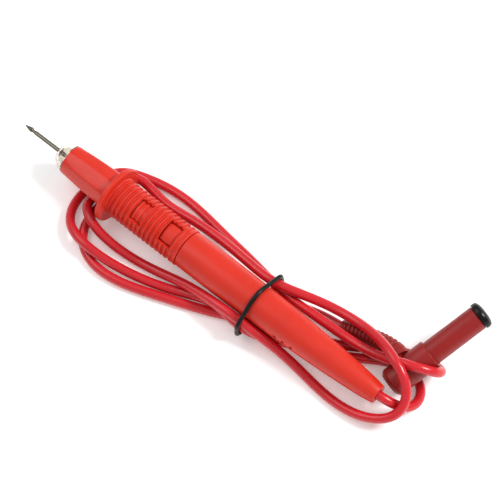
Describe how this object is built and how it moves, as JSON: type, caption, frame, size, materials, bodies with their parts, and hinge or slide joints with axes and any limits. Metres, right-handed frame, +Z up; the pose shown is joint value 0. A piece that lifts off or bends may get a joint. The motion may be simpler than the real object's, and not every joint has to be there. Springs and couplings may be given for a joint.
{
  "type": "multimeter_test_lead",
  "caption": "Red electrical test lead: needle probe with sliding front sleeve, cable wound round it as a hank in a rubber band, right-angle shrouded banana plug with cap.",
  "frame": {"origin": "bottom centre of the probe's box: under the middle of the probe's length, on the table the flange stands on", "axes": "-X towards the needle's point, +X towards the probe's tail, +Z up from the table, +Y towards the plug's side"},
  "size_m": [0.1934, 0.0765, 0.0261],
  "materials": {
    "red_shell": "satin moulded",
    "plug_red": "satin moulded",
    "cord_silicone": "satin silicone",
    "black_rubber": "satin",
    "black_plastic": "satin moulded",
    "dark_plastic": "matte",
    "clear_nose": "clear moulded plastic",
    "steel": "plated",
    "brass": "plated",
    "copper": "bare stranded copper, shown as one rod"
  },
  "bodies": {
    "lead": {"needle": "steel", "needle_insulator": "dark_plastic", "contact_holder": "brass", "conductor": "copper", "cable_clamp": "steel", "grip_housing": "red_shell", "handle_shell_upper": "red_shell", "handle_shell_lower": "red_shell", "tie_ring": "black_rubber", "cable_run_1": "cord_silicone", "cable_run_2": "cord_silicone", "cable_run_3": "cord_silicone", "cable_run_4": "cord_silicone", "cable_run_5": "cord_silicone", "cable_run_6": "cord_silicone", "cable_run_7": "cord_silicone", "plug_body": "plug_red", "plug_shroud": "plug_red", "plug_insert": "dark_plastic", "plug_pin": "brass", "plug_spring": "brass", "plug_terminal": "brass", "plug_boot": "plug_red"},
    "sleeve": {"nose_cone": "clear_nose", "front_barrel": "red_shell", "slider_tube": "red_shell"},
    "latch": {"latch_tongue": "red_shell"},
    "cap": {"plug_cap": "black_plastic"}
  },
  "joints": [
    {"name": "sleeve_slide", "type": "slide", "parent": "lead", "child": "sleeve", "axis": [-1, 0, 0], "range_m": [0, 0.0145]},
    {"name": "latch_press", "type": "hinge", "parent": "sleeve", "child": "latch", "pos_m": [-0.004, -0.00128, 0.01674], "axis": [0, -0.9681, -0.2504], "range_deg": [0, 4.6], "stiffness_Nm_per_rad": 0.3},
    {"name": "cap_pull", "type": "slide", "parent": "lead", "child": "cap", "axis": [0.2748, 0.8996, 0.3394], "range_m": [0, 0.008]}
  ]
}
